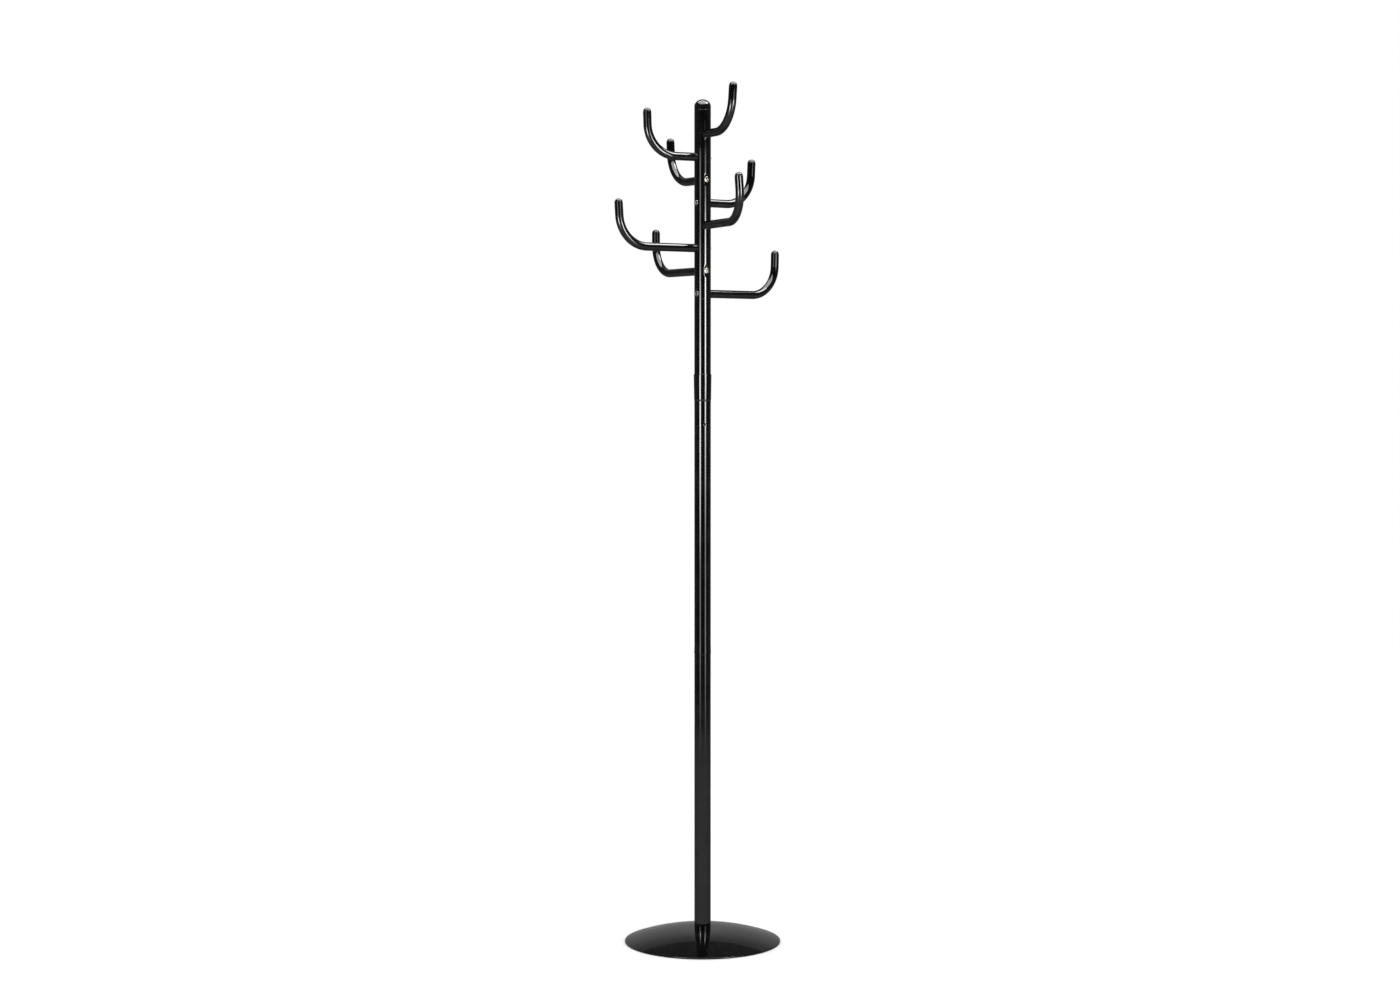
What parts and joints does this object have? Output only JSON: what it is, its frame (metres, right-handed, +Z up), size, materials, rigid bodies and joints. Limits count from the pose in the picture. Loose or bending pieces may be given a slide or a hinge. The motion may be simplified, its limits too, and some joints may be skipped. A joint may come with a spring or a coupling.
{
  "type": "standing coat rack",
  "caption": "Free-standing coat rack: weighted round dome base, tall plug-together tube pole and two tiers of upturned J-shaped tube arms.",
  "frame": {"origin": "on the floor at the pole's axis, in the middle of the floor pad's underside", "axes": "+Z up along the pole; -Y is the way the topmost arm nominally points; arms step down clockwise seen from above"},
  "size_m": [0.3892, 0.3889, 1.6558],
  "materials": {
    "enamel": "gloss black enamel",
    "moulded": "gloss black moulded",
    "nickel": "bright nickel plate",
    "zinc": "zinc plated",
    "cast": "as cast",
    "foam": "closed-cell foam"
  },
  "bodies": {
    "root": {"base_pad": "foam", "base_underplate": "zinc", "base_weight": "cast", "base_shell": "enamel", "pole_bolt": "zinc", "pole_lockwasher": "zinc", "pole_washer": "zinc", "foot_nut": "zinc", "lower_pole": "enamel", "middle_pole": "enamel", "upper_pole": "enamel", "pole_cap": "moulded", "arm_1": "enamel", "arm_2": "enamel", "arm_3": "enamel", "arm_4": "enamel", "arm_5": "enamel", "arm_6": "enamel", "arm_7": "enamel", "arm_8": "enamel", "arm_cap_1": "moulded", "arm_cap_2": "moulded", "arm_cap_3": "moulded", "arm_cap_4": "moulded", "arm_cap_5": "moulded", "arm_cap_6": "moulded", "arm_cap_7": "moulded", "arm_cap_8": "moulded", "arm_nut_1": "zinc", "arm_nut_2": "zinc", "arm_nut_3": "zinc", "arm_nut_4": "zinc", "arm_nut_5": "zinc", "arm_nut_6": "zinc", "arm_nut_7": "zinc", "arm_nut_8": "zinc", "arm_screw_1": "nickel", "arm_screw_2": "nickel", "arm_screw_3": "nickel", "arm_screw_4": "nickel", "arm_screw_5": "nickel", "arm_screw_6": "nickel", "arm_screw_7": "nickel", "arm_screw_8": "nickel"}
  },
  "joints": []
}
